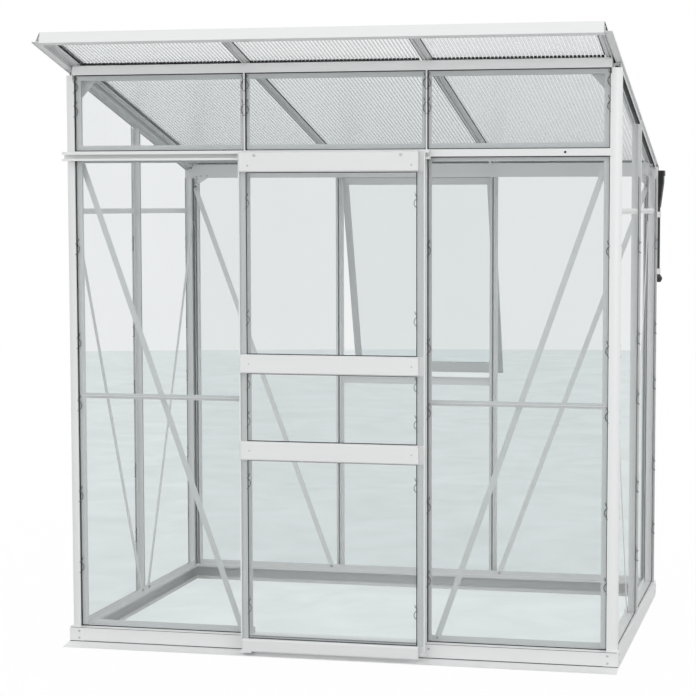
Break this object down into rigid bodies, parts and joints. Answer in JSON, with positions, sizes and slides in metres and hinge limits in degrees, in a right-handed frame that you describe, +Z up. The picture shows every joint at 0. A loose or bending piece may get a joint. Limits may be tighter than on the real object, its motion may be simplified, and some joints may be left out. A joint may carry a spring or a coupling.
{
  "type": "lean-to greenhouse",
  "caption": "Glazed aluminium greenhouse with one sloping roof falling from a high front wall, a sliding door, a top-hung back window and a gutter with downpipe.",
  "frame": {"origin": "middle of the front base rail's underside", "axes": "+Z up, -Y out through the high front wall with the door, +Y towards the low back wall, +X to the right as seen from the front"},
  "size_m": [1.9495, 1.8258, 2.1083],
  "materials": {
    "aluminium": "mill finish, faintly brushed along each profile",
    "glass": "clear horticultural glass",
    "twin_wall_sheet": "clear ribbed twin-wall sheet",
    "black_plastic": "moulded black plastic",
    "pale_plastic": "moulded pale grey plastic",
    "grey_plastic": "moulded grey nylon",
    "steel": "zinc plated"
  },
  "bodies": {
    "frame": {"back_bars": "aluminium", "back_braces": "aluminium", "back_corner_posts": "aluminium", "back_eave_beam": "aluminium", "back_sill_bar": "aluminium", "back_wall_glass": "glass", "base_back_rail": "aluminium", "base_corner_brackets": "aluminium", "base_front_rail": "aluminium", "base_side_rails": "aluminium", "brace_bolts": "steel", "clerestory_bars": "aluminium", "clerestory_glass": "glass", "door_bottom_guide": "aluminium", "door_track": "aluminium", "downpipe": "black_plastic", "downpipe_clips": "pale_plastic", "downpipe_spout": "black_plastic", "edge_rafters": "aluminium", "front_bars": "aluminium", "front_braces": "aluminium", "front_corner_posts": "aluminium", "front_eave_beam": "aluminium", "front_mid_rails": "aluminium", "front_sill_bars": "aluminium", "front_sill_lip": "aluminium", "front_transom": "aluminium", "front_wall_glass": "glass", "gable_bars": "aluminium", "gusset_plates": "aluminium", "gutter": "aluminium", "gutter_end_caps": "grey_plastic", "gutter_outlet": "black_plastic", "middle_rafters": "aluminium", "roof_bar_caps": "aluminium", "roof_front_fascia": "aluminium", "roof_sheets": "twin_wall_sheet", "roof_verges": "aluminium", "side_sill_bars": "aluminium", "side_wall_bars": "aluminium", "side_wall_braces": "aluminium", "side_wall_glass": "glass", "side_wall_mid_rails": "aluminium", "window_hinge_bar": "aluminium", "window_sill_bar": "aluminium"},
    "door": {"door_stiles": "aluminium", "door_top_panel": "aluminium", "door_middle_rails": "aluminium", "door_bottom_panel": "aluminium", "door_glass": "glass", "door_glides": "grey_plastic", "door_roller_axles": "steel"},
    "roller_left": {"door_roller_left": "grey_plastic"},
    "roller_right": {"door_roller_right": "grey_plastic"},
    "window": {"window_top_rail": "aluminium", "window_bottom_rail": "aluminium", "window_side_rails": "aluminium", "window_glass": "glass"}
  },
  "joints": [
    {"name": "door_slide", "type": "slide", "parent": "frame", "child": "door", "axis": [-1, 0, 0], "range_m": [0, 0.59]},
    {"name": "roller_left_spin", "type": "hinge", "parent": "door", "child": "roller_left", "pos_m": [-0.262, -0.0405, 1.7043], "axis": [0, 1, 0], "range_deg": [-3390, 0]},
    {"name": "roller_right_spin", "type": "hinge", "parent": "door", "child": "roller_right", "pos_m": [0.242, -0.0405, 1.7043], "axis": [0, 1, 0], "range_deg": [-3390, 0]},
    {"name": "window_hinge", "type": "hinge", "parent": "frame", "child": "window", "pos_m": [0, 1.273, 1.655], "axis": [1, 0, 0], "range_deg": [-17, 25]}
  ],
  "couplings": [
    {"joint": "roller_left_spin", "follows": "door_slide", "rad_per_m": -100},
    {"joint": "roller_right_spin", "follows": "door_slide", "rad_per_m": -100}
  ]
}
